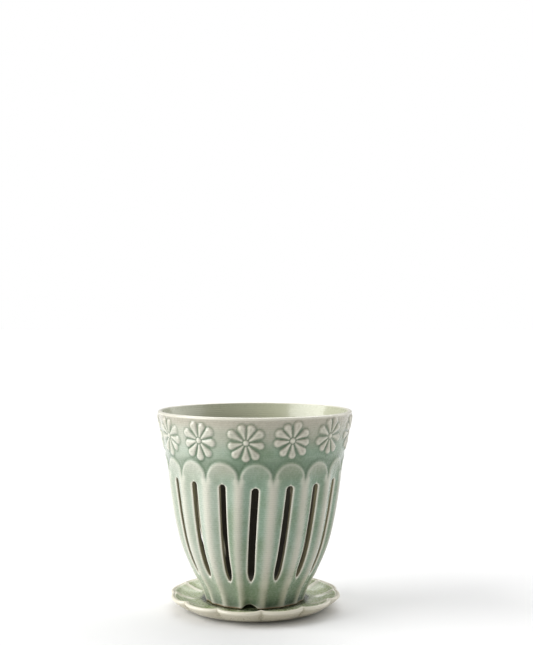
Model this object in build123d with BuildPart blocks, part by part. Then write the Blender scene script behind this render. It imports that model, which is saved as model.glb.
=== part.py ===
from build123d import *
import os
from math import atan, cos, degrees, hypot, pi, radians, sin, sqrt

# An orchid pot with air slots, standing in its petal-edged saucer. Millimetres, +Z up.
# The origin is on the ground at the saucer's centre, and the front is towards -Y.

# Pot, overall
rim_diameter = 166.0
foot_diameter = 84.0
pot_height = 160.0
wall = 5.5
overrun = 2.0

# The bare wall's outline, from foot to rim: shares of the pot's height, and of the way out
# from the foot's radius to the rim's
outline_shares = (
    (0.00, 0.00),
    (0.08, 0.11),
    (0.16, 0.28),
    (0.30, 0.505),
    (0.45, 0.645),
    (0.61, 0.74),
    (0.78, 0.815),
    (0.88, 0.885),
    (1.00, 1.00),
)
outline_spans = 12

# Rim
lip_thickness = 3.2
lip_taper = 14.0

# Flutes: arch-topped hollows with ridges between them
flute_count = 17
band_height = 34.0
ridge_relief = 1.5
ridge_land = 1.3
flute_hollow_at_foot = 27.0
flute_hollow_at_slot_top = 58.0
flute_hollow_at_arch = 100.0
flute_spans = 10

# Air slots, one in each flute
slot_width = 6.0
slot_point_width = 3.0
slot_point_length = 14.0
slot_rise = 25.0
slot_drop = 20.5

# Daisies round the band
daisy_count = 13
daisy_turn = -4.5
daisy_drop = 18.5
petal_count = 9
petal_tip_gap = 0.5
petal_start = 3.6
petal_width = 6.2
petal_root_width = 1.4
petal_relief = 1.5
petal_round = 0.9
boss_diameter = 4.8
boss_relief = 1.8
boss_round = 1.2

# Base of the pot
base_thickness = 6.0
foot_ring_width = 7.0
foot_recess = 4.5
notch_count = 4
notch_width = 13.0
notch_height = 4.0
drain_diameter = 14.0

# Saucer
saucer_diameter = 145.0
saucer_height = 13.8
seat_height = 7.5
seat_margin = 9.0
saucer_petals = 12
saucer_turn = 4.7
scallop_depth = 2.8
saucer_lip = 3.0
saucer_foot_diameter = 110.0
saucer_foot_width = 6.0
saucer_foot_height = 2.0

# The saucer's petals between its seat and its rim: shares of the way out, of the way up and of
# the scallops' depth, for the upper and the lower surface
dish_shares = ((0.0, 0.0, 0.1), (0.55, 0.38, 0.5), (1.0, 1.0, 1.0))
underside_shares = ((0.0, 0.0, 0.1), (0.55, 0.26, 0.4), (1.0, 1.0, 1.0))

rim_radius = rim_diameter / 2
bare_foot_radius = foot_diameter / 2 - ridge_relief
front = -pi / 2
flute_pitch = 2 * pi / flute_count
arch_top = pot_height - band_height
slot_top = arch_top - slot_drop
daisy_height = pot_height - daisy_drop
inner_floor = foot_recess + base_thickness
# the daisies' petals end just above the arches
petal_reach = band_height - daisy_drop - petal_tip_gap


def level(height):
    # a height above the pot's foot, as a height above the ground
    return seat_height + height


def outline_slope(index):
    # the outline's slope at one of its points, from the points on either side of it
    below, above = max(index - 1, 0), min(index + 1, len(outline_shares) - 1)
    (low_height, low_reach), (high_height, high_reach) = outline_shares[below], outline_shares[above]
    return (high_reach - low_reach) / (high_height - low_height)


def bare_radius(height):
    # the wall's outer radius at a height above the foot, without flutes or relief
    share = min(max(height / pot_height, 0), 1)
    index = sum(1 for knot, reach in outline_shares[1:-1] if share > knot)
    (low, start), (high, end) = outline_shares[index], outline_shares[index + 1]
    span = high - low
    t = (share - low) / span
    reach = (
        start * (1 + 2 * t) * (1 - t) ** 2
        + end * t**2 * (3 - 2 * t)
        + span * outline_slope(index) * t * (1 - t) ** 2
        - span * outline_slope(index + 1) * t**2 * (1 - t)
    )
    return bare_foot_radius + reach * (rim_radius - bare_foot_radius)


def wall_slope(height):
    # how far the wall leans out for each millimetre of height
    step = pot_height / outline_spans / 2
    above, below = min(height + step, pot_height), max(height - step, 0)
    return (bare_radius(above) - bare_radius(below)) / (above - below)


def inner_radius(height):
    # the wall keeps its thickness square to its slope, and narrows to the lip near the rim
    thickness = wall * hypot(1, wall_slope(height))
    narrowing = max(0, (height - pot_height + lip_taper) / lip_taper) ** 2
    return bare_radius(height) - thickness - narrowing * (lip_thickness - thickness)


def stations(bottom, top, spans):
    return [bottom + (top - bottom) * index / spans for index in range(spans + 1)]


# the arches are half circles as wide as a flute, so their feet meet on the ridges
arch_radius = (bare_radius(arch_top) + ridge_relief) * sin(flute_pitch / 2)
arch_spring = arch_top - arch_radius


def flute_section(height):
    # the hollow's radius of curvature, and how far its deepest line lies from the pot's axis
    ridge_radius = bare_radius(height) + ridge_relief
    if height < slot_top:
        share = max(height, 0) / slot_top
        hollow = flute_hollow_at_foot + share * (flute_hollow_at_slot_top - flute_hollow_at_foot)
    else:
        share = min((height - slot_top) / (arch_spring - slot_top), 1)
        hollow = flute_hollow_at_slot_top + share * (flute_hollow_at_arch - flute_hollow_at_slot_top)
    if height < arch_spring:
        half_width_squared = (ridge_radius * sin(flute_pitch / 2) - ridge_land) ** 2
    else:
        half_width_squared = (arch_radius - ridge_land) ** 2 - (height - arch_spring) ** 2
    depth = half_width_squared / 2 * (1 / ridge_radius + 1 / hollow)
    return hollow, ridge_radius - depth


def band_place(angle, height):
    # a plane that lies on the bare wall, facing outwards, with its y axis up the wall
    radius = bare_radius(height)
    lean = atan(wall_slope(height))
    outwards = (cos(angle) * cos(lean), sin(angle) * cos(lean), -sin(lean))
    return Plane(
        origin=(radius * cos(angle), radius * sin(angle), level(height)),
        x_dir=(-sin(angle), cos(angle), 0),
        z_dir=outwards,
    )


def upright(angle):
    # a vertical plane through the pot's axis, with its x axis pointing out at an angle
    return Plane(origin=(0, 0, 0), x_dir=(cos(angle), sin(angle), 0), z_dir=(sin(angle), -cos(angle), 0))


def petal_places():
    # every petal of every daisy lies on the wall at its own place, turned about its daisy's centre
    middle = (petal_start + petal_reach) / 2
    places = []
    for daisy in range(daisy_count):
        centre = front + radians(daisy_turn) + daisy * 2 * pi / daisy_count
        for petal_number in range(petal_count):
            turn = petal_number * 2 * pi / petal_count
            height = daisy_height - middle * cos(turn)
            angle = centre + middle * sin(turn) / bare_radius(daisy_height)
            places.append(Location(band_place(angle, height)) * Location((0, 0, 0), (0, 0, degrees(turn))))
    return places


def boss_places():
    centres = [front + radians(daisy_turn) + daisy * 2 * pi / daisy_count for daisy in range(daisy_count)]
    return [Location(band_place(angle, daisy_height)) for angle in centres]


def scalloped_outline(tip_radius, depth):
    # one arc for each petal, bulging from notch to notch past the circle that the notches lie on
    notch_radius = tip_radius - depth
    turn = front + radians(saucer_turn)
    for petal_number in range(saucer_petals):
        start, middle, end = (turn + (petal_number + part) * 2 * pi / saucer_petals for part in (0, 0.5, 1))
        ThreePointArc(
            (notch_radius * cos(start), notch_radius * sin(start)),
            (tip_radius * cos(middle), tip_radius * sin(middle)),
            (notch_radius * cos(end), notch_radius * sin(end)),
        )


recess_radius = bare_foot_radius - foot_ring_width
cutter_length = rim_radius - recess_radius + overrun
wedge_start = front - flute_pitch / 2

# One wedge of the pot's wall, with its rim, foot ring, flute and air slot
lip_start = pot_height - lip_thickness / 2
outer_stations = stations(0, lip_start, outline_spans)
inner_stations = stations(inner_floor, lip_start, outline_spans)
raised_stations = stations(0, arch_top + overrun, outline_spans)

with BuildPart() as arch:
    with BuildSketch(Plane.XZ.offset(recess_radius)):
        with Locations((0, level(arch_spring))):
            Circle(arch_radius)
            Rectangle(2 * arch_radius, arch_spring, align=(Align.CENTER, Align.MAX))
    extrude(amount=cutter_length)

with BuildPart() as arcade_wedge:
    with BuildSketch(upright(wedge_start)):
        with BuildLine():
            raised = Spline(*[(bare_radius(height) + ridge_relief, level(height)) for height in raised_stations])
            buried = Spline(*[(bare_radius(height) - wall / 2, level(height)) for height in raised_stations])
            Line(raised @ 0, buried @ 0)
            Line(raised @ 1, buried @ 1)
        make_face()
    revolve(axis=Axis.Z, revolution_arc=degrees(flute_pitch))
    add(arch.part, mode=Mode.INTERSECT)

# the flute is hollowed by a stack of arcs, each a little wider than the flute
with BuildPart() as flute_hollow:
    for height in stations(-overrun, arch_top + overrun, flute_spans):
        hollow, valley = flute_section(height)
        side = (bare_radius(height) + ridge_relief) * sin(flute_pitch / 2) + ridge_land
        edge = valley + hollow - sqrt(hollow**2 - side**2)
        with BuildSketch(Plane.XY.offset(level(height))):
            with BuildLine():
                ThreePointArc((-side, -edge), (0, -valley), (side, -edge))
                Polyline((side, -edge), (side, -edge - wall), (-side, -edge - wall), (-side, -edge))
            make_face()
    loft()

# the air slot is round at the top and drawn in to a blunt point at the bottom
with BuildPart() as slot:
    with BuildSketch(Plane.XZ.offset(recess_radius)):
        with Locations((0, level(slot_top - slot_width / 2)), (0, level(slot_rise + slot_point_length))):
            Circle(slot_width / 2)
        with Locations((0, level(slot_rise + slot_point_width / 2))):
            Circle(slot_point_width / 2)
        make_hull()
    extrude(amount=cutter_length)

with BuildPart() as pot_wedge:
    with BuildSketch(upright(wedge_start)):
        with BuildLine():
            outside = Spline(*[(bare_radius(height), level(height)) for height in outer_stations])
            inside = Spline(*[(inner_radius(height), level(height)) for height in inner_stations])
            lip_middle = ((bare_radius(lip_start) + inner_radius(lip_start)) / 2, level(pot_height))
            ThreePointArc(outside @ 1, lip_middle, inside @ 1)
            Polyline(
                inside @ 0,
                (recess_radius, level(inner_floor)),
                (recess_radius, level(0)),
                outside @ 0,
            )
        make_face()
    revolve(axis=Axis.Z, revolution_arc=degrees(flute_pitch))
    add(arcade_wedge.part)
    add(flute_hollow.part, mode=Mode.SUBTRACT)
    add(slot.part, mode=Mode.SUBTRACT)

# One petal and one boss of the daisies, pressed into the wall by half its thickness
with BuildPart() as petal:
    with BuildSketch(Plane.XY.offset(-wall / 2)):
        middle = (petal_start + petal_reach) / 2
        with Locations((0, middle - petal_reach + petal_width / 2)):
            Circle(petal_width / 2)
        with Locations((0, middle - petal_start - petal_root_width / 2)):
            Circle(petal_root_width / 2)
        make_hull()
    extrude(amount=wall / 2 + petal_relief)
    fillet(petal.faces().sort_by(Axis.Z)[-1].edges(), petal_round)

with BuildPart() as boss:
    with BuildSketch(Plane.XY.offset(-wall / 2)):
        Circle(boss_diameter / 2)
    extrude(amount=wall / 2 + boss_relief)
    fillet(boss.faces().sort_by(Axis.Z)[-1].edges(), boss_round)

with BuildPart() as daisies:
    with Locations(*petal_places()):
        add(petal.part)
    with Locations(*boss_places()):
        add(boss.part)

# One arched drainage notch under the foot
with BuildPart() as notch:
    with BuildSketch(Plane.XZ):
        with BuildLine():
            ThreePointArc(
                (-notch_width / 2, level(0)),
                (0, level(notch_height)),
                (notch_width / 2, level(0)),
            )
            Line((-notch_width / 2, level(0)), (notch_width / 2, level(0)))
        make_face()
    extrude(amount=foot_diameter)

with BuildPart() as pot:
    with PolarLocations(0, flute_count):
        add(pot_wedge.part)
    with BuildSketch(Plane.XY.offset(level(foot_recess))):
        Circle(recess_radius)
        Circle(drain_diameter / 2, mode=Mode.SUBTRACT)
    extrude(amount=base_thickness)
    with PolarLocations(0, notch_count):
        add(notch.part, mode=Mode.SUBTRACT)
    add(daisies.part)
pot.part.label = "pot"

# Saucer
saucer_radius = saucer_diameter / 2
seat_radius = foot_diameter / 2 + seat_margin
saucer_foot_radius = saucer_foot_diameter / 2

with BuildPart() as dish_hollow:
    for out_share, up_share, depth_share in dish_shares:
        height = seat_height + up_share * (saucer_height - seat_height)
        tip_radius = seat_radius + out_share * (saucer_radius - saucer_lip - seat_radius)
        with BuildSketch(Plane.XY.offset(height)):
            with BuildLine():
                scalloped_outline(tip_radius, depth_share * scallop_depth)
            make_face()
    loft()

with BuildPart() as saucer:
    for out_share, up_share, depth_share in underside_shares:
        height = saucer_foot_height + up_share * (saucer_height - saucer_foot_height)
        tip_radius = saucer_foot_radius + out_share * (saucer_radius - saucer_foot_radius)
        with BuildSketch(Plane.XY.offset(height)):
            with BuildLine():
                scalloped_outline(tip_radius, depth_share * scallop_depth)
            make_face()
    loft()
    with BuildSketch(Plane.XY):
        Circle(saucer_foot_radius - scallop_depth)
        Circle(saucer_foot_radius - scallop_depth - saucer_foot_width, mode=Mode.SUBTRACT)
    extrude(amount=(saucer_foot_height + seat_height) / 2)
    add(dish_hollow.part, mode=Mode.SUBTRACT)
saucer.part.label = "saucer"

os.makedirs("parts", exist_ok=True)
export_step(pot.part, "parts/pot.step")
export_step(saucer.part, "parts/saucer.step")
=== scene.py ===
import math
import bmesh
import bpy
from mathutils import Matrix, Vector


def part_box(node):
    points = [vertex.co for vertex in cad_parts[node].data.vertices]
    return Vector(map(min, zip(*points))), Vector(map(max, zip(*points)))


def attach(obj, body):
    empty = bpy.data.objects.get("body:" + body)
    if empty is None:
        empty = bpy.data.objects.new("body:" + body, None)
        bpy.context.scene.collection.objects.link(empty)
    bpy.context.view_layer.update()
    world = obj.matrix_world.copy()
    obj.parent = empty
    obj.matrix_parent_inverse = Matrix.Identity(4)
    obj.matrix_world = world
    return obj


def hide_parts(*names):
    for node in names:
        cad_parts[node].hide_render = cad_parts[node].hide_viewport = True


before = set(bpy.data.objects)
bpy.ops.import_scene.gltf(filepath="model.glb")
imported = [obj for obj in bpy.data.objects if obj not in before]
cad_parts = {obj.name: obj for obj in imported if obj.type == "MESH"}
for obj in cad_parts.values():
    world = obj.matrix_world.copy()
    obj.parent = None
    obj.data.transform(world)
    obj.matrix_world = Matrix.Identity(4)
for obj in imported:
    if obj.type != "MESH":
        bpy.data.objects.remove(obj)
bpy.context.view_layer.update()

metres = 0.001
millimetres = 1 / metres
potLow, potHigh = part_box("pot")
saucerLow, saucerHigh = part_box("saucer")
boxGap = 0.1  # how far the rim keeps inside the solids' box
hair = 0.01  # what counts as nothing, in millimetres and in shares of a flute
hairTurn = 0.001  # and in radians


def ease(x):
    x = min(max(x, 0.0), 1.0)
    return x * x * (3 - 2 * x)


def between(low, high, share):
    return low + (high - low) * share


def curveThrough(points, x):
    # a smooth curve through given points, read at x
    if x <= points[0][0]:
        return points[0][1]
    if x >= points[-1][0]:
        return points[-1][1]
    last = len(points) - 1
    index = sum(1 for point in points[1:-1] if x > point[0])

    def slope(knot):
        (x0, y0), (x1, y1) = points[max(knot - 1, 0)], points[min(knot + 1, last)]
        return (y1 - y0) / (x1 - x0)

    (x0, y0), (x1, y1) = points[index], points[index + 1]
    span = x1 - x0
    t = (x - x0) / span
    ends = y0 * (1 + 2 * t) * (1 - t) ** 2 + y1 * t * t * (3 - 2 * t)
    return ends + span * (slope(index) * t * (1 - t) ** 2 - slope(index + 1) * t * t * (1 - t))


def softMax(first, second, soft):
    # the higher of two surfaces, with the corner where they meet filled in
    near = max(soft - abs(first - second), 0.0) / soft
    return max(first, second) + near * near * soft / 4


def rowsBetween(low, high, spacing):
    # evenly spaced rows, without the last one
    count = max(1, round((high - low) / spacing))
    return [between(low, high, index / count) for index in range(count)]


# Pot

pot = {
    "height": (potHigh.z - potLow.z) * millimetres,
    "rimRadius": (potHigh.x - potLow.x) / 2 * millimetres - boxGap,
    "footRadius": 40.8,
    # how far out the bare wall leans: shares of the height, and of the way from foot to rim
    "outlineShares": [
        (0.00, 0.00), (0.08, 0.11), (0.16, 0.28), (0.30, 0.508), (0.45, 0.65),
        (0.61, 0.746), (0.78, 0.823), (0.88, 0.892), (1.00, 1.00),
    ],
    "wall": 5.5,
    "lip": 3.2,
    "lipTaper": 14.0,
    "flutes": 17,
    "columnsPerFlute": 20,
    "band": 34.0,
    "relief": 1.15,  # how far the ridges and arches stand out
    "shoulder": (3.0, 5.2),  # how softly an arch falls away, at its side and at its crown
    "spandrelTail": (10.0, 6.0),  # how far below and above the arches' spring the wall between them sinks
    "bandRise": 0.7,  # how much prouder the band stands than the wall under it
    "bandStart": 8.0,  # how far below the arches' top it starts to rise
    "bandEnd": 12.0,  # how far below the rim it starts to fall
    "bandFade": 10.0,
    "bandReach": 12.0,  # how far below the arches' top the lowest petals may come
    "hollowDepths": [(0, 1.3), (30, 2.1), (70, 2.7), (102, 2.4), (112, 1.6), (120, 0.8), (127, 0.3)],
    "hollowSquareness": 1.35,
    "slotWidth": 6.0,
    "slotFoot": 25.0,
    "slotTop": 105.5,
    "slotPoint": 11.0,  # the height over which a slot's foot is drawn in
    "slotPointRoundness": 1.8,
    "slotLip": 1.9,  # the width of the worn edge round a slot, and how far it falls
    "slotLipDrop": 0.45,
    "footRing": 7.0,
    "recess": 4.5,
    "floor": 6.0,
    "drain": 14.0,
    "notches": 4,
    "notchWidth": 13.0,
    "notchHeight": 4.0,
    "notchRoundness": 2.4,
    "notchTurn": -5.6,
    "notchFade": 9.0,  # how far up the wall a notch still lifts it, and how far inside the foot ring
    "notchInside": 1.5,
    # how far apart the rows lie: below, beside and above the slots, and inside above and below their foot
    "rowSpacing": (1.65, 2.1, 0.8, 3.6, 2.6),
    "insideCorner": 4.0,
    "fineAbove": 5.0,  # how far above the slots the columns get finer
    # how far a slot's lift takes the wall along: above and below its top, below and above its foot
    "liftReach": (9, 45, 12, 35),
    "leanShares": (-0.3, 1.15),  # past these shares of a slot's height the carved lines lean no further
    # the carver's hand: degrees that each slot and ridge leans off its place, from the front to the right
    "slotTurnTop": [
        0.9, 2.6, 1.9, 1.5, 0.6, -0.5, -1.6, 1.1, 0.2,
        -0.7, 2.2, 1.9, -0.2, 0.6, 0.7, -0.3, 0.4,
    ],
    "slotTurnFoot": [
        -3.2, -1.5, -0.2, 0.6, -0.4, 0.5, -2.6, -0.6, 0.3,
        0.8, 2.6, 2.7, 0.4, -0.8, -1.8, -2.4, -1.6,
    ],
    "ridgeTurnTop": [
        1.2, 1.6, 0.8, 0.4, -0.3, 0.2, 0.6, 0.1, -0.4,
        0.3, 0.5, -0.1, 0.4, 0.6, 0.2, 0.3, 1.0,
    ],
    "ridgeTurnFoot": [
        -1.0, 0.6, 0.8, 0.2, -0.4, 0.3, 0.5, -0.3, 0.2,
        0.6, -0.4, -0.5, 0.3, -0.6, -1.6, -2.8, -2.6,
    ],
    # and how much higher each slot's two ends lie
    "slotLiftTop": [
        -2.1, -1.0, -1.2, 0.5, -0.6, 0.8, -0.3, 1.0, -0.9,
        0.4, -0.5, 0.9, -0.2, 0.6, 1.4, 0.9, 0.5,
    ],
    "slotLiftFoot": [
        0.0, 0.2, 0.7, 0.4, -0.6, 0.5, -0.2, 0.8, -0.4,
        0.3, 0.6, -0.7, 0.2, -0.3, 0.4, 1.0, -0.8,
    ],
    # how pale the glaze is on each arch's crown
    "crownPale": [
        0.32, 0.5, 0.62, 0.4, 0.55, 0.35, 0.6, 0.45, 0.3,
        0.55, 0.4, 0.6, 0.35, 0.5, 0.6, 0.72, 0.78,
    ],
}

daisy = {
    "count": 13,
    "turn": -4.5,
    "drop": 18.5,
    "petals": 9,
    "root": (3.6, 1.2),  # how far out a petal's root lies, and its radius
    "tip": (12.2, 3.45),
    "relief": 1.25,
    "edge": 2.4,
    "bossRadius": 2.4,
    "bossRelief": 1.4,
    "uneven": (0.06, 4.0),  # how much petals differ in size, and in degrees of turn
    "meeting": 0.9,  # how softly a petal rises from the wall
    # each one: degrees it is turned about its own middle, degrees round the pot and millimetres up
    "turns": [-1.5, 2.0, 0.5, -1.0, 1.5, 0.0, 2.5, -2.0, 1.0, -0.5, 2.0, 0.0, 1.0],
    "shifts": [-0.1, -0.6, -0.9, 0.6, -0.4, 0.8, -0.6, 0.3, 0.9, -0.7, 0.4, -1.2, -1.6],
    "lifts": [-1.6, -0.3, 1.2, 0.8, -0.5, 0.4, 0.9, -0.8, 0.3, -0.4, 0.7, 0.4, -0.9],
}

pitch = 2 * math.pi / pot["flutes"]
archTop = pot["height"] - pot["band"]
rimRise = pot["rimRadius"] - pot["footRadius"]


def bareRadius(z):
    return pot["footRadius"] + curveThrough(pot["outlineShares"], z / pot["height"]) * rimRise


def innerRadius(z):
    step = 4.0
    slope = (bareRadius(z + step) - bareRadius(z - step)) / (2 * step)
    thickness = pot["wall"] * math.hypot(1, slope)
    taper = max(0.0, (z - pot["height"] + pot["lipTaper"]) / pot["lipTaper"]) ** 2
    return bareRadius(z) - between(thickness, pot["lip"], taper)


archRadius = (bareRadius(archTop) + pot["relief"]) * math.sin(pitch / 2)
archSpring = archTop - archRadius


def slotHalfWidth(z):
    # round at the top, drawn in to a blunt point at the foot
    half = pot["slotWidth"] / 2
    aboveFoot, belowTop = z - pot["slotFoot"], pot["slotTop"] - z
    if aboveFoot <= 0 or belowTop <= 0:
        return 0.0
    width = half
    if aboveFoot < pot["slotPoint"]:
        width *= math.sqrt(1 - (1 - aboveFoot / pot["slotPoint"]) ** pot["slotPointRoundness"])
    if belowTop < half:
        width *= math.sqrt(1 - (1 - belowTop / half) ** 2)
    return width


def leaning(turns, index, z):
    # the carved line leans from its turn at the slots' foot to its turn at their top, and is true in the band
    foot, top = pot[turns + "Foot"][index], pot[turns + "Top"][index]
    lowest, highest = pot["leanShares"]
    share = (z - pot["slotFoot"]) / (pot["slotTop"] - pot["slotFoot"])
    fade = 1 - ease((z - archSpring) / (pot["height"] - pot["band"] / 2 - archSpring))
    return math.radians(between(foot, top, min(max(share, lowest), highest))) * fade


def fluteLines(index, z):
    # the angles of a flute's left ridge, its slot and its right ridge
    count = pot["flutes"]
    left = (index - 0.5) * pitch + leaning("ridgeTurn", (index - 1) % count, z)
    middle = index * pitch + leaning("slotTurn", index % count, z)
    right = (index + 0.5) * pitch + leaning("ridgeTurn", index % count, z)
    return left, middle, right


# columns lie close together beside a slot, and even out above it: shares of the way from slot to ridge
slotColumnShares = [
    (0.0, 0.0), (0.1, 0.035), (0.2, 0.085), (0.3, 0.16),
    (0.4, 0.26), (0.6, 0.5), (0.8, 0.76), (1.0, 1.0),
]


def carvedPlace(angle, z, side):
    # where a column of the plain wall goes: its angle, how far it lies from its slot's middle,
    # how far that is from the ridge, and its level
    index = round(angle / pitch)
    share = (angle - index * pitch) / (pitch / 2)
    if side == 0:
        side = 1 if share >= 0 else -1
    left, middle, right = fluteLines(index, z)
    radius = bareRadius(z)
    reach = (right - middle if side > 0 else middle - left) * radius
    even = ease((z - pot["slotTop"] - 1) / (archSpring - pot["slotTop"]))
    near = curveThrough(slotColumnShares, abs(share))
    near = between(near, abs(share), even)
    opening = slotHalfWidth(z)
    across = opening + (reach - opening) * near
    # an arch is round about its middle, though its ridges lean
    reach = between(reach, between((right - left) / 2 * radius, reach, abs(share)), even)
    level = z + slotLift(index % pot["flutes"], z) * (1 - ease(abs(share)))
    return middle + side * across / radius, across, reach, level


def slotLift(index, z):
    # a slot's end takes the wall round it along, up or down
    top, foot = pot["slotTop"], pot["slotFoot"]
    overTop, underTop, underFoot, overFoot = pot["liftReach"]
    nearTop = 1 - ease((z - top) / overTop) if z > top else ease((z - top + underTop) / underTop)
    nearFoot = 1 - ease((foot - z) / underFoot) if z < foot else 1 - ease((z - foot) / overFoot)
    return pot["slotLiftTop"][index] * nearTop + pot["slotLiftFoot"][index] * nearFoot


def petalHeight(ahead, aside, grown):
    # a teardrop petal, a pillow that rises from its edge and sinks into the wall outside it
    rootAt, rootRadius = daisy["root"]
    tipAt, tipRadius = (size * grown for size in daisy["tip"])
    run = tipAt - rootAt
    lean = (tipRadius - rootRadius) / run
    along = (ahead - rootAt + abs(aside) * lean / math.sqrt(1 - lean * lean)) / run
    along = min(max(along, 0.0), 1.0)
    inside = between(rootRadius, tipRadius, along) - math.hypot(ahead - rootAt - along * run, aside)
    if inside < 0:
        return inside
    return daisy["relief"] * math.sin(min(inside / daisy["edge"], 1.0) * math.pi / 2)


def daisyHeight(angle, z):
    daisyPitch = 2 * math.pi / daisy["count"]
    index = round((angle - math.radians(daisy["turn"])) / daisyPitch)
    own = index % daisy["count"]
    middle = index * daisyPitch + math.radians(daisy["turn"] + daisy["shifts"][own])
    aside = (angle - middle) * bareRadius(z)
    up = z - (pot["height"] - daisy["drop"] + daisy["lifts"][own])
    reach = math.hypot(aside, up)
    sizes, degrees = daisy["uneven"]
    if reach > sum(daisy["tip"]) * (1 + sizes) + daisy["meeting"]:
        return -daisy["meeting"]
    petalPitch = 2 * math.pi / daisy["petals"]
    turn = math.atan2(aside, -up) - math.radians(daisy["turns"][own])
    which = round(turn / petalPitch) % daisy["petals"]
    fold = (turn + petalPitch / 2) % petalPitch - petalPitch / 2
    fold -= math.radians(degrees) * math.sin(3.1 * own + 4.7 * which)
    grown = 1 + sizes * math.sin(5.3 * own + 2.4 * which)
    petal = petalHeight(reach * math.cos(fold), reach * math.sin(fold), grown)
    boss = 1 - (reach / daisy["bossRadius"]) ** 2
    boss = daisy["bossRelief"] * math.sqrt(boss) if boss > 0 else daisy["bossRadius"] - reach
    return max(petal, boss)


def fluteField(across, reach, z):
    # 0 along a flute's middle, 1 on its ridges and its arch's line, and more in the spandrels
    return (across if z <= archSpring else math.hypot(across, z - archSpring)) / reach


def spandrelShare(across, reach, z):
    # 1 where the wall between two arches is left low
    below, above = pot["spandrelTail"]
    start = ease((z - archSpring + below) / (below + above))
    shoulder = between(*pot["shoulder"], ease((z - archSpring) / archRadius))
    cover = ease((1 - fluteField(across, reach, z)) * reach / shoulder)
    return start * (1 - cover)


def wallRelief(across, reach, z):
    # round-topped plates with a rounded hollow in each, and rounded ridges between them
    field = min(fluteField(across, reach, z), 1.0)
    hollow = math.cos(field ** pot["hollowSquareness"] * math.pi / 2) ** 2
    plate = pot["relief"] * (1 - spandrelShare(across, reach, z))
    return plate - curveThrough(pot["hollowDepths"], z) * hollow


def outerRelief(angle, across, reach, z, opening):
    # how far the outer wall stands out from its bare outline
    relief = wallRelief(across, reach, z)
    if z > archTop - pot["bandReach"]:
        rising = ease((z - archTop + pot["bandStart"]) / pot["bandFade"])
        band = pot["bandRise"] * rising * (1 - ease((z - pot["height"] + pot["bandEnd"]) / pot["bandFade"]))
        relief = softMax(relief + band, daisyHeight(angle, z) + band, daisy["meeting"])
    fromSlot = across - opening
    if 0 < opening and fromSlot < pot["slotLip"]:
        relief -= pot["slotLipDrop"] * (1 - math.sqrt(1 - (1 - fromSlot / pot["slotLip"]) ** 2))
    return relief


# where the glaze is pale, in shares and in millimetres of height
paleGlaze = {
    "ridgeStarts": (0.36, 0.58),  # how far across a flute a ridge's pale starts, at the foot and higher up
    "ridgeFull": 0.96,
    "ridgeClimb": 45.0,  # the height at which it has reached the second start
    "ridge": 0.8,
    "archLine": 0.45,
    "crownStart": 6.0,  # how far below the arches' spring their crowns start to be pale
    "crownFade": 15.0,
    "crownPast": 1.0,  # how far above the arches' top a crown still counts
    "band": 0.85,
    "bandStart": 4.0,  # how far above the arches' top the band starts to be pale
    "bandFade": 16.0,
    "petalEdge": 0.1,  # how far below a petal's edge it is pale, and over what rise
    "petalFade": 0.7,
    "petalReach": 8.0,  # how far below the arches' top the petals' pale is looked for
}


def paleShare(angle, across, reach, z):
    # the glaze is pale on ridges, arch crowns, petals and under the rim
    covered = 1 - spandrelShare(across, reach, z)
    start = between(*paleGlaze["ridgeStarts"], ease(z / paleGlaze["ridgeClimb"]))
    ridge = ease((fluteField(across, reach, z) - start) / (paleGlaze["ridgeFull"] - start)) * covered
    ridge *= between(paleGlaze["ridge"], paleGlaze["archLine"], ease((z - archSpring) / archRadius))
    crown = ease((z - archSpring + paleGlaze["crownStart"]) / paleGlaze["crownFade"]) * covered
    crown *= (z < archTop + paleGlaze["crownPast"]) * pot["crownPale"][round(angle / pitch) % pot["flutes"]]
    band = ease((z - archTop - paleGlaze["bandStart"]) / paleGlaze["bandFade"]) * paleGlaze["band"]
    petal = 0.0
    if z > archTop - paleGlaze["petalReach"]:
        petal = ease((daisyHeight(angle, z) + paleGlaze["petalEdge"]) / paleGlaze["petalFade"])
    return max(ridge, crown, band, petal)


def notchRise(angle, radius):
    # the foot is cut away in low arches
    notchPitch = 2 * math.pi / pot["notches"]
    place = (angle - math.radians(pot["notchTurn"])) / notchPitch
    aside = (place - round(place)) * notchPitch * radius
    share = abs(aside) / (pot["notchWidth"] / 2)
    return pot["notchHeight"] * (1 - share ** pot["notchRoundness"]) if share < 1 else 0.0


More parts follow.
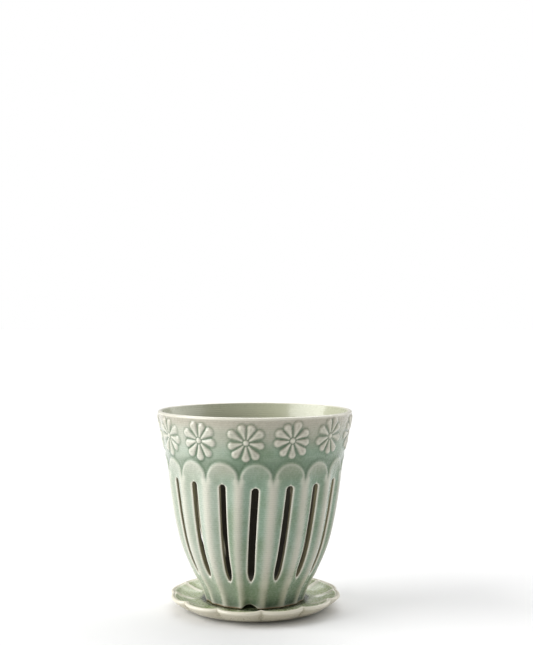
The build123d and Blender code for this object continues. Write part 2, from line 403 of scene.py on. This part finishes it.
def potProfile():
    # rows of the plain spun pot, from the foot's outer edge over the lip and back under the floor
    top, slotTop, slotFoot = pot["height"], pot["slotTop"], pot["slotFoot"]
    half = pot["slotWidth"] / 2
    besideFoot, besideSlots, besideBand, inside, insideFoot = pot["rowSpacing"]
    roundTop = [slotTop - half * (1 - math.cos(step * math.pi / 10)) for step in (5, 4, 3, 2, 1, 0)]
    bluntFoot = [slotFoot + rise for rise in (0.0, 0.12, 0.4, 0.9, 1.6, 2.5, 3.7, 5.2, 7.0, 9.0)]
    slotRows = bluntFoot + rowsBetween(slotFoot + pot["slotPoint"], slotTop - half, besideSlots) + roundTop
    lipStart = top - pot["lip"] / 2
    outer = [0.5] + rowsBetween(1.2, slotFoot, besideFoot) + slotRows
    outer += [slotTop + besideBand] + rowsBetween(slotTop + 1.6, lipStart, besideBand) + [lipStart]
    inner = [z for z in slotRows if z < slotTop] + [slotTop, slotTop + 1.5]
    inner += rowsBetween(slotTop + 4, lipStart, inside) + [lipStart]
    floorTop = pot["recess"] + pot["floor"]
    corner = pot["insideCorner"]
    cornerRadius = innerRadius(floorTop + corner)
    recessRadius = pot["footRadius"] - pot["footRing"]
    drainRadius = pot["drain"] / 2
    rows = [("outer", bareRadius(z), z) for z in outer]
    lipCentre = (bareRadius(lipStart) + innerRadius(lipStart)) / 2
    lipHalf = (bareRadius(lipStart) - innerRadius(lipStart)) / 2
    for step in (1, 2, 3, 4, 5):
        turn = step * math.pi / 6
        level = lipStart + (top - lipStart) * math.sin(turn)
        rows.append(("lip", lipCentre + lipHalf * math.cos(turn), level))
    rows += [("inner", innerRadius(z), z) for z in reversed(inner)]
    low = rowsBetween(floorTop + corner, slotFoot, insideFoot)
    rows += [("inner", innerRadius(z), z) for z in reversed(low)]
    for step in (1, 2, 3):
        turn = step * math.pi / 6
        level = floorTop + corner * (1 - math.sin(turn))
        rows.append(("floor", cornerRadius - corner * (1 - math.cos(turn)), level))
    rows += [("floor", radius, floorTop) for radius in (cornerRadius - corner, 26.0, 16.0, drainRadius + 1.2)]
    rows += [("floor", drainRadius + 0.3, floorTop - 0.3), ("floor", drainRadius, floorTop - 1.2)]
    rows += [("base", drainRadius, pot["recess"] + 1.2), ("base", drainRadius + 0.8, pot["recess"])]
    rows += [("base", 20.0, pot["recess"]), ("base", recessRadius - 1.0, pot["recess"])]
    rows += [("ring", recessRadius, pot["recess"] - 1.0), ("ring", recessRadius, 1.0)]
    rows += [("ring", recessRadius + 1, 0.0), ("ring", pot["footRadius"] - 0.4, 0.0)]
    return rows


# what the glazes read: the outer wall, the flutes' field, and where the glaze is pale, runs thin or pools,
# which on the saucer also holds a painted shadow round the pot's foot
surfaceLayers = ("outer", "field", "pale", "thin", "pool")
outerKinds = ("outer", "lip", "under")


def spunShell(rows, columns, firstAngle, closed):
    # a profile spun right round; the front is towards -Y
    bm = bmesh.new()
    for layer in surfaceLayers:
        bm.verts.layers.float.new(layer)
    outer = bm.verts.layers.float["outer"]
    line = []
    for kind, radius, z in rows:
        vertex = bm.verts.new((radius * math.sin(firstAngle), -radius * math.cos(firstAngle), z))
        vertex[outer] = 1.0 if kind in outerKinds else 0.0
        line.append(vertex)
    pairs = list(zip(line, line[1:])) + ([(line[-1], line[0])] if closed else [])
    edges = [bm.edges.new(pair) for pair in pairs]
    bmesh.ops.spin(
        bm, geom=line + edges, cent=(0, 0, 0), axis=(0, 0, 1), dvec=(0, 0, 0), angle=2 * math.pi,
        steps=columns, use_merge=True, use_normal_flip=False, use_duplicate=False,
    )
    return bm


def angleOf(point):
    return math.atan2(point.x, -point.y)


def radiusOf(point):
    return math.hypot(point.x, point.y)


def placed(radius, angle, z):
    return Vector((radius * math.sin(angle), -radius * math.cos(angle), z))


def hollowness(bm, rounds):
    # how far each vertex lies below a smoothed copy of the surface, after each number of smoothing rounds
    smooth = bm.copy()
    freely = {"use_axis_x": True, "use_axis_y": True, "use_axis_z": True}
    found = []
    done = 0
    for total in rounds:
        for step in range(total - done):
            bmesh.ops.smooth_vert(smooth, verts=smooth.verts, factor=0.5, **freely)
        done = total
        smooth.verts.ensure_lookup_table()
        found.append([(smooth.verts[vertex.index].co - vertex.co).dot(vertex.normal) for vertex in bm.verts])
    smooth.free()
    return zip(*found)


def finishedPiece(name, bm, foot):
    bmesh.ops.scale(bm, vec=(metres, metres, metres), verts=bm.verts)
    bmesh.ops.translate(bm, vec=(0, 0, foot), verts=bm.verts)
    mesh = bpy.data.meshes.new(name)
    bm.to_mesh(mesh)
    bm.free()
    for polygon in mesh.polygons:
        polygon.use_smooth = True
    piece = bpy.data.objects.new(name, mesh)
    bpy.context.scene.collection.objects.link(piece)
    return piece


# the rounds of smoothing that show fine and broad forms, and how far a form stands out for a full share
potWear = {
    "rounds": (6, 40),
    "edge": 0.45,
    "groove": 0.28,
    "bandGroove": 0.2,
    "broad": 1.5,
    "spandrel": 0.6,  # the share of pooling in the spandrels, and how it ends at the arches' top
    "spandrelStart": 4.0,
    "spandrelFade": 10.0,
}


def makePot():
    columns = pot["flutes"] * pot["columnsPerFlute"]
    bm = spunShell(potProfile(), columns, -pitch / 2, closed=True)
    outer = bm.verts.layers.float["outer"]
    wallSlack = 0.5  # a vertex further inside the wall than this isn't the wall's

    # finer columns above the slots, for the arches and daisies
    fineFrom = pot["slotTop"] + pot["fineAbove"]
    around = [
        edge for edge in bm.edges
        if abs(edge.verts[0].co.z - edge.verts[1].co.z) < hair
        and abs(radiusOf(edge.verts[0].co) - radiusOf(edge.verts[1].co)) < hair
        and edge.verts[0].co.z > fineFrom and edge.verts[0][outer] > 0.5
    ]
    bmesh.ops.subdivide_edges(bm, edges=around, cuts=1, use_grid_fill=True)

    # slits for the air slots, through the outer and the inner wall
    slits = []
    for edge in bm.edges:
        a, b = edge.verts[0], edge.verts[1]
        low, high = sorted((a.co.z, b.co.z))
        share = angleOf(a.co) / pitch
        upright = abs(angleOf(a.co) - angleOf(b.co)) < hairTurn and high - low > hair
        wall = radiusOf(a.co) > innerRadius(a.co.z) - wallSlack
        beside = low > pot["slotFoot"] - hair and high < pot["slotTop"] + hair
        if upright and wall and beside and abs(share - round(share)) < hair:
            slits.append(edge)
    bmesh.ops.split_edges(bm, edges=slits)
    rim = [edge for edge in bm.edges if len(edge.link_faces) == 1]

    sides, chains = {}, {}
    for edge in rim:
        index = round(angleOf(edge.verts[0].co) / pitch)
        side = 1 if angleOf(edge.link_faces[0].calc_center_median()) > index * pitch else -1
        chains.setdefault((index % pot["flutes"], side), []).append(edge)
        for vertex in edge.verts:
            sides[vertex] = side

    layers = bm.verts.layers.float
    field, pale, thin, pool = (layers[name] for name in ("field", "pale", "thin", "pool"))
    lipStart = pot["height"] - pot["lip"] / 2
    for vertex in bm.verts:
        angle, radius, z = angleOf(vertex.co), radiusOf(vertex.co), vertex.co.z
        newAngle, across, reach, level = carvedPlace(angle, z, sides.get(vertex, 0))
        vertex[field] = fluteField(across, reach, level)
        if vertex[outer] > 0.5 and z < lipStart + hair:
            opening = slotHalfWidth(z)
            radius = bareRadius(level) + outerRelief(newAngle, across, reach, level, opening)
            vertex[pale] = paleShare(newAngle, across, reach, level)
            ending = ease((level - archTop + potWear["spandrelStart"]) / potWear["spandrelFade"])
            vertex[pool] = spandrelShare(across, reach, level) * (1 - ending)
            if opening > 0:
                vertex[thin] = 1 - ease((across - opening) / pot["slotLip"])
        elif z < pot["slotFoot"] or radius < innerRadius(z) - wallSlack:
            newAngle, level = angle, z
        vertex.co = placed(radius, newAngle, level)
    print("pot: wall carved,", len(bm.verts), "vertices")

    for chain in chains.values():
        bmesh.ops.bridge_loops(bm, edges=chain)
    print("pot: slots opened,", len(bm.faces), "faces")

    ringInside = pot["footRadius"] - pot["footRing"] - pot["notchInside"]
    for vertex in bm.verts:
        if vertex.co.z < pot["notchFade"] and radiusOf(vertex.co) > ringInside:
            rise = notchRise(angleOf(vertex.co), radiusOf(vertex.co))
            vertex.co.z += rise * max(0.0, 1 - vertex.co.z / pot["notchFade"])
    bmesh.ops.recalc_face_normals(bm, faces=bm.faces)
    bm.normal_update()
    for vertex, (fine, broad) in zip(bm.verts, hollowness(bm, potWear["rounds"])):
        onBand = vertex.co.z > archTop and vertex[outer] > 0.5
        vertex[thin] = min(max(vertex[thin], -fine / potWear["edge"]), 1.0)
        pooled = fine / potWear["bandGroove" if onBand else "groove"] + broad / potWear["broad"]
        vertex[pool] = min(max(vertex[pool] * potWear["spandrel"] + pooled, 0.0), 1.0)
    print("pot: wear found")
    return finishedPiece("pot_body", bm, potLow.z)


potPiece = makePot()
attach(potPiece, "pot")
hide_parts("pot")


# Saucer

tipPast = 0.5  # the petals' tips reach past the box's half width, because none points straight along X
seatGap = 0.05  # how far the dish keeps below the pot's foot

saucer = {
    "petals": 12,
    "turn": 4.7,
    "tipRadius": (saucerHigh.x - saucerLow.x) / 2 * millimetres + tipPast,
    "height": (saucerHigh.z - saucerLow.z) * millimetres,
    "seat": (potLow.z - saucerLow.z) * millimetres - seatGap,
    "seatRadius": 50.5,
    "scallop": 2.8,
    "scallopPowers": (2.3, 1.4),  # how sharply the edge draws in towards a notch, and towards the rim
    "lip": 3.2,
    "notchLift": 0.9,  # how much higher the lip stands at the notches
    "footRadius": 52.0,
    "footWidth": 6.0,
    "footHeight": 2.0,
    "dish": 0.8,
    "ridge": 0.6,
    "ridgeWidth": 2.6,
    "ridgePale": 1.5,
    # how far from the seat's edge or the tips each of these starts, and over what width it fades in or out
    "ridgeStart": (3.0, 8.0),
    "dishEnd": (7.0, 4.0),
    "liftStart": (14.0, 12.0),
    "footShadow": (43.0, 3.6),  # painted shadow: the dark ring in the dish round the pot's foot, and its width
    "columnsPerPetal": 26,
    "dishRows": 16,
    "lipRows": 7,
    "underRows": 14,
    # as for the pot: the smoothing rounds, and how far a form stands out for a full share
    "rounds": (6, 24),
    "edge": 0.3,
    "groove": 1.2,
    "broad": 2.2,
    # shares of the way, and of the climb or drop, for the upper and the lower surface
    "climb": [(0.0, 0.0), (0.3, 0.17), (0.6, 0.47), (1.0, 0.9)],
    "belly": [(0.0, 0.0), (0.2, 0.34), (0.5, 0.72), (0.8, 0.94), (1.0, 1.0)],
}


def saucerProfile():
    # rows of the plain spun saucer, from the seat's middle out over the lip and back under the foot
    tip, seat = saucer["tipRadius"], saucer["seat"]
    height = saucer["height"] - saucer["notchLift"]
    inner = tip - saucer["lip"]
    rows = [("seat", radius, seat) for radius in (0.0, 12.0, 24.0, 32.0, 36.0, 39.0, 42.0, 44.5, 47.0)]
    for step in range(saucer["dishRows"] + 1):
        share = step / saucer["dishRows"]
        radius = between(saucer["seatRadius"], inner, share)
        rows.append(("dish", radius, seat + (height - seat) * curveThrough(saucer["climb"], share)))
    lipCentre, lipHalf = tip - saucer["lip"] / 2, saucer["lip"] / 2
    lipTurn = math.radians(180 / 6.2)  # the lip curls round and a little under
    for step in range(1, saucer["lipRows"] + 1):
        turn = math.pi - step * lipTurn
        level = height - lipHalf + lipHalf * math.sin(turn)
        rows.append(("lip", lipCentre + lipHalf * math.cos(turn), level))
    startRadius, startHeight = rows[-1][1], rows[-1][2]
    for step in range(1, saucer["underRows"] + 1):
        share = step / saucer["underRows"]
        radius = between(startRadius, saucer["footRadius"] + 0.6, share)
        rows.append(("under", radius, between(startHeight, 0.9, curveThrough(saucer["belly"], share))))
    foot, width = saucer["footRadius"], saucer["footWidth"]
    rows += [("foot", foot + 0.3, 0.3), ("foot", foot - 0.3, 0.0)]
    rows += [("foot", foot - width + 0.3, 0.0), ("foot", foot - width, 0.3), ("foot", foot - width, 1.4)]
    rows += [("base", radius, saucer["footHeight"]) for radius in (foot - width - 0.6, 30.0, 16.0, 0.0)]
    return rows


def makeSaucer():
    petalPitch = 2 * math.pi / saucer["petals"]
    columns = saucer["petals"] * saucer["columnsPerPetal"]
    bm = spunShell(saucerProfile(), columns, math.radians(saucer["turn"]), closed=False)
    bmesh.ops.remove_doubles(bm, verts=bm.verts, dist=0.001)
    tip, foot, seatRadius = saucer["tipRadius"], saucer["footRadius"], saucer["seatRadius"]
    towardsNotch, towardsRim = saucer["scallopPowers"]
    ridgeStart, ridgeFade = saucer["ridgeStart"]
    dishEnd, dishFade = saucer["dishEnd"]
    liftStart, liftFade = saucer["liftStart"]
    footShadowRadius, footShadowWidth = saucer["footShadow"]
    layers = bm.verts.layers.float
    outer, pale, thin, pool = (layers[name] for name in ("outer", "pale", "thin", "pool"))
    for vertex in bm.verts:
        angle, radius, z = angleOf(vertex.co), radiusOf(vertex.co), vertex.co.z
        place = (angle - math.radians(saucer["turn"])) / petalPitch
        share = abs(place - math.floor(place) - 0.5) * 2  # 0 along a petal's middle, 1 at a notch
        outward = min(max((radius - foot) / (tip - foot), 0.0), 1.0)
        notch = saucer["scallop"] * share**towardsNotch * outward**towardsRim
        if vertex[outer] < 0.5 and radius > seatRadius - ridgeStart - 1:
            away = (1 - share) * petalPitch / 2 * radius
            ridge = math.exp(-((away / saucer["ridgeWidth"]) ** 2))
            way = ease((radius - seatRadius + ridgeStart) / ridgeFade)
            fall = 1 - ease((radius - tip + dishEnd) / dishFade)
            if z > saucer["seat"] - hair:
                z += way * (saucer["ridge"] * ridge - saucer["dish"] * (1 - share**2) * fall)
                vertex[pale] = way * ease(ridge * saucer["ridgePale"])
        z += saucer["notchLift"] * share**3 * ease((radius - tip + liftStart) / liftFade)
        vertex.co = placed(radius - notch, angle, z)
    bmesh.ops.recalc_face_normals(bm, faces=bm.faces)
    bm.normal_update()
    for vertex, (fine, broad) in zip(bm.verts, hollowness(bm, saucer["rounds"])):
        vertex[thin] = min(max(-fine / saucer["edge"], 0.0), 1.0)
        # the pool is pooled glaze in grooves and hollows, plus a painted shadow ring round the pot's foot
        footShadow = ease(1.5 - abs(radiusOf(vertex.co) - footShadowRadius) / footShadowWidth) * (vertex[outer] < 0.5)
        pooled = fine / saucer["groove"] + broad / saucer["broad"] + footShadow
        vertex[pool] = min(max(pooled, 0.0), 1.0)
    print("saucer: petals shaped,", len(bm.faces), "faces")
    return finishedPiece("saucer_body", bm, saucerLow.z)


saucerPiece = makeSaucer()
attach(saucerPiece, "saucer")
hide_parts("saucer")


# Glazes

class Wire:
    # one socket of a material's nodes; a sum on it adds the Math nodes
    def __init__(self, tree, socket=None):
        self.tree, self.socket = tree, socket

    def node(self, kind, settings=None, inputs=None, output=0):
        made = self.tree.nodes.new(kind)
        for name, value in (settings or {}).items():
            setattr(made, name, value)
        for name, value in (inputs or {}).items():
            if isinstance(value, Wire):
                self.tree.links.new(value.socket, made.inputs[name])
            else:
                made.inputs[name].default_value = value
        return Wire(self.tree, made.outputs[output])

    def sum(self, operation, first, second, clamp=False):
        settings = {"operation": operation, "use_clamp": clamp}
        return self.node("ShaderNodeMath", settings, {0: first, 1: second})

    def __add__(self, other):
        return self.sum("ADD", self, other)

    def __radd__(self, other):
        return self.sum("ADD", other, self)

    def __sub__(self, other):
        return self.sum("SUBTRACT", self, other)

    def __rsub__(self, other):
        return self.sum("SUBTRACT", other, self)

    def __mul__(self, other):
        return self.sum("MULTIPLY", self, other)

    def __rmul__(self, other):
        return self.sum("MULTIPLY", other, self)

    def clamped(self):
        return self.sum("ADD", self, 0.0, clamp=True)

    def fromTo(self, low, high):
        # 0 below low, 1 above high, and smooth between
        settings = {"interpolation_type": "SMOOTHSTEP", "clamp": True}
        return self.node("ShaderNodeMapRange", settings, {"Value": self, "From Min": low, "From Max": high})

    def tint(self, low, high):
        # one colour where this is 0, and the other where it is 1
        settings = {"data_type": "RGBA", "clamp_factor": True}
        return self.node("ShaderNodeMix", settings, {0: self, 6: low, 7: high}, output=2)


def paint(red, green, blue):
    # a colour as a screen shows it, 0 to 255, for a colour socket
    def linear(value):
        value /= 255
        return value / 12.92 if value <= 0.04045 else ((value + 0.055) / 1.055) ** 2.4
    return (linear(red), linear(green), linear(blue), 1.0)


glaze = {
    "celadon": paint(105, 128, 99),
    # the pale tint of the painted highlight on the side towards the key lamp
    "paintedSheen": paint(204, 208, 194),
    "aqua": paint(123, 147, 126),
    "beige": paint(169, 163, 147),
    "cream": paint(230, 227, 212),
    "deep": paint(68, 94, 64),
    "foot": paint(52, 77, 58),
    "clay": paint(176, 134, 96),
    "inside": paint(178, 180, 154),
    # painted shade deep inside the pot and under it
    "insideShade": paint(62, 59, 48),
    # painted shade on the slots' cut walls
    "shadedSlotWall": paint(124, 118, 90),
    "leaf": paint(158, 170, 120),
    "leafPale": paint(163, 174, 134),
    "leafPoolAndShade": paint(50, 61, 38),
    "lip": paint(214, 209, 192),
    "side": paint(182, 176, 153),
    "potCoat": 0.45,
    "saucerCoat": 0.2,
    "coatRoughness": 0.1,
    # the gloss, and what the fine grain, worn edges and the dull inside add to its roughness
    "specular": 0.5,
    "roughness": 0.2,
    "grainRoughness": 0.14,
    "wornRoughness": 0.08,
    "dullRoughness": 0.5,
    "bumpStrength": 0.25,
    "bumpHeight": 0.0006,
    "cloudScale": 38.0,
    "fineScale": 420.0,
    "ringScale": 180.0,
    "mottle": (0.35, 0.65),
    # how strong each of these is, and the metres from the foot, the rim or the middle between which it fades
    "paintedSheenShare": 0.48,
    "paintedSheenSide": (0.014, 0.058),
    "rimShare": 0.85,
    "underRim": (0.014, 0.004),
    "risen": (0.005, 0.06),
    "footHeights": (-0.002, 0.016),
    "bareFoot": (0.0004, 0.0016),
    "insideDepths": (0.05, 0.012),
    "slotWallDepths": (0.03, 0.02),
    "ringShare": 0.1,
    "ringBump": 0.6,
    "fineBump": 0.5,
    "sidePool": 0.3,
    "lipShare": 0.9,
}


def glazeMaterial(name, base, coat):
    material = bpy.data.materials.new(name)
    material.use_nodes = True
    tree = material.node_tree
    tree.nodes.clear()
    start = Wire(tree)
    surface = {}
    for layer in surfaceLayers:
        surface[layer] = start.node("ShaderNodeAttribute", {"attribute_name": layer}, output=2)
    surface["place"] = place = start.node("ShaderNodeTexCoord", output=3)
    surface["height"] = start.node("ShaderNodeSeparateXYZ", inputs={0: place}, output=2)
    surface["across"] = start.node("ShaderNodeSeparateXYZ", inputs={0: place}, output=0)
    for noise, detail in (("cloud", 3.0), ("fine", 2.0)):
        inputs = {"Vector": place, "Scale": glaze[noise + "Scale"], "Detail": detail}
        surface[noise] = start.node("ShaderNodeTexNoise", inputs=inputs)
    colour, bump, dull = base(start, surface)
    inputs = {"Height": bump, "Strength": glaze["bumpStrength"], "Distance": glaze["bumpHeight"]}
    normal = start.node("ShaderNodeBump", inputs=inputs)
    rough = glaze["roughness"] + glaze["grainRoughness"] * surface["fine"]
    rough += glaze["wornRoughness"] * surface["thin"]
    shader = start.node("ShaderNodeBsdfPrincipled", inputs={
        "Base Color": colour,
        "Roughness": rough + glaze["dullRoughness"] * dull,
        "Coat Weight": coat * (1 - dull),
        "Coat Roughness": glaze["coatRoughness"],
        "Specular IOR Level": glaze["specular"],
        "Normal": normal,
    })
    output = tree.nodes.new("ShaderNodeOutputMaterial")
    tree.links.new(shader.socket, output.inputs["Surface"])
    return material


def potColour(start, surface):
    height, cloud, thin, pool = (surface[name] for name in ("height", "cloud", "thin", "pool"))

    def fromFoot(low, high):
        return height.fromTo(potLow.z + low, potLow.z + high)

    def fromRim(low, high):
        return height.fromTo(potHigh.z - low, potHigh.z - high)

    mottle = cloud.fromTo(*glaze["mottle"])
    patchy = 0.7 + 0.3 * mottle
    ground = mottle.tint(glaze["celadon"], glaze["aqua"])
    ground = (surface["pale"] * patchy).tint(ground, glaze["beige"])
    # painted highlight: the glaze is tinted paler towards -X, where the key lamp's sheen falls
    paintedSheen = (0.02 * cloud - surface["across"]).fromTo(*glaze["paintedSheenSide"])
    ground = (glaze["paintedSheenShare"] * paintedSheen).tint(ground, glaze["paintedSheen"])
    ground = (fromRim(*glaze["underRim"]) * glaze["rimShare"]).tint(ground, glaze["beige"])
    # it pools less, and lets the cream through, towards the foot, and is darkest just above it
    risen = fromFoot(*glaze["risen"])
    ground = (pool * patchy * (0.1 + 0.9 * risen)).tint(ground, glaze["deep"])
    ground = ((1 - risen) * (0.12 + 0.3 * surface["pale"])).tint(ground, glaze["cream"])
    low = (1 - fromFoot(*glaze["footHeights"])) * (0.4 + 0.6 * mottle)
    hollow = 1 - surface["field"].fromTo(0.55, 0.95)
    ground = (low * hollow).tint(ground, glaze["foot"])
    ground = thin.tint(ground, glaze["cream"])
    ground = (1 - fromFoot(*glaze["bareFoot"])).tint(ground, glaze["clay"])
    # painted shade: away from the outer wall the glaze darkens from 12 to 50 mm below the rim, down the
    # inside and under the base
    depth = fromRim(*glaze["insideDepths"])
    inside = depth.tint(glaze["insideShade"], glaze["inside"])
    # painted shade: the slots' cut walls are a dark olive
    shadedSlotWall = surface["outer"].fromTo(0.0, 0.3) * (1 - fromRim(*glaze["slotWallDepths"]))
    inside = shadedSlotWall.tint(inside, glaze["shadedSlotWall"])
    # faint rings from the wheel
    settings = {"wave_type": "BANDS", "bands_direction": "Z"}
    inputs = {"Vector": surface["place"], "Scale": glaze["ringScale"], "Distortion": 1.5}
    rings = start.node("ShaderNodeTexWave", settings, inputs, output=1)
    ground = (rings * glaze["ringShare"]).tint(ground, glaze["deep"])
    colour = surface["outer"].fromTo(0.8, 1.0).tint(inside, ground)
    bump = rings * glaze["ringBump"] + surface["fine"] * glaze["fineBump"]
    return colour, bump, (1 - surface["outer"]) * (1 - depth)


def saucerColour(start, surface):
    cloud, thin, pool = surface["cloud"], surface["thin"], surface["pool"]
    leaf = cloud.fromTo(*glaze["mottle"]).tint(glaze["leaf"], glaze["leafPale"])
    # pooled glaze and the painted shadow round the pot's foot darken the dish
    leaf = pool.tint(leaf, glaze["leafPoolAndShade"])
    leaf = (surface["pale"] * glaze["lipShare"]).tint(leaf, glaze["lip"])
    side = (pool * glaze["sidePool"]).tint(glaze["side"], glaze["leafPoolAndShade"])
    ground = surface["outer"].fromTo(0.4, 0.6).tint(leaf, side)
    ground = (thin * glaze["lipShare"]).tint(ground, glaze["lip"])
    return ground, surface["fine"], 0.0


potPiece.data.materials.append(glazeMaterial("celadonGlaze", potColour, glaze["potCoat"]))
saucerPiece.data.materials.append(glazeMaterial("paleCeladonGlaze", saucerColour, glaze["saucerCoat"]))
print("glazes mixed")


# Floor, light and camera

studio = {
    "fill": 0.42,
    # each lamp: degrees round from the front, degrees up, strength, softness in degrees
    "lamps": {
        "keyLight": (-80, 25, 3.4, 54),
        "rightLight": (114, 32, 1.1, 60),
        "backLight": (178, 52, 1.5, 50),
    },
    "floorSize": 40.0,
    "floorDrop": 0.0002,
    "floorColour": (0.78, 0.78, 0.78, 1.0),
    "lampsAway": 2.0,
    # the camera's place in metres, and the degrees it looks down
    "view": {"right": 0.0098, "back": 0.978, "up": 0.2465, "down": 0.296},
    # its lens and picture in pixels, its sensor in millimetres, and how far it sees in metres
    "focalPixels": 1150,
    "frameHeight": 645,
    "sensor": 36.0,
    "farthest": 100,
}


def makeFloor():
    bm = bmesh.new()
    half = studio["floorSize"] / 2
    below = Matrix.Translation((0, 0, -studio["floorDrop"]))
    bmesh.ops.create_grid(bm, x_segments=1, y_segments=1, size=half, matrix=below)
    mesh = bpy.data.meshes.new("floor")
    bm.to_mesh(mesh)
    bm.free()
    floor = bpy.data.objects.new("floor", mesh)
    bpy.context.scene.collection.objects.link(floor)
    material = bpy.data.materials.new("floorPaper")
    material.use_nodes = True
    shader = material.node_tree.nodes["Principled BSDF"]
    shader.inputs["Base Color"].default_value = studio["floorColour"]
    shader.inputs["Roughness"].default_value = 0.9
    shader.inputs["Specular IOR Level"].default_value = 0.1
    mesh.materials.append(material)


def makeWorld():
    world = bpy.data.worlds.new("studio")
    world.use_nodes = True
    tree = world.node_tree
    tree.nodes.clear()
    start = Wire(tree)
    camera = start.node("ShaderNodeLightPath", output="Is Camera Ray")
    through = start.node("ShaderNodeLightPath", output="Is Transmission Ray")
    seen = (camera + through).clamped()
    strength = studio["fill"] + seen * (1 - studio["fill"])
    sky = start.node("ShaderNodeBackground", inputs={"Color": (1, 1, 1, 1), "Strength": strength})
    output = tree.nodes.new("ShaderNodeOutputWorld")
    tree.links.new(sky.socket, output.inputs["Surface"])
    bpy.context.scene.world = world


def makeLamps():
    for name, (around, up, strength, softness) in studio["lamps"].items():
        light = bpy.data.lights.new(name, "SUN")
        light.energy = strength
        light.angle = math.radians(softness)
        lamp = bpy.data.objects.new(name, light)
        around, up = math.radians(around), math.radians(up)
        towards = Vector((math.sin(around) * math.cos(up), -math.cos(around) * math.cos(up), math.sin(up)))
        lamp.rotation_euler = towards.to_track_quat("Z", "Y").to_euler()
        lamp.location = towards * studio["lampsAway"]
        bpy.context.scene.collection.objects.link(lamp)


def makeCamera():
    view = studio["view"]
    lens = bpy.data.cameras.new("camera")
    lens.sensor_width = studio["sensor"]
    lens.lens = studio["focalPixels"] * lens.sensor_width / studio["frameHeight"]
    lens.clip_end = studio["farthest"]
    camera = bpy.data.objects.new("camera", lens)
    camera.location = (view["right"], -view["back"], view["up"])
    camera.rotation_euler = (math.radians(90 - view["down"]), 0, 0)
    bpy.context.scene.collection.objects.link(camera)
    bpy.context.scene.camera = camera


makeFloor()
makeWorld()
makeLamps()
makeCamera()
bpy.context.scene.view_settings.view_transform = "Standard"
print("studio lit")
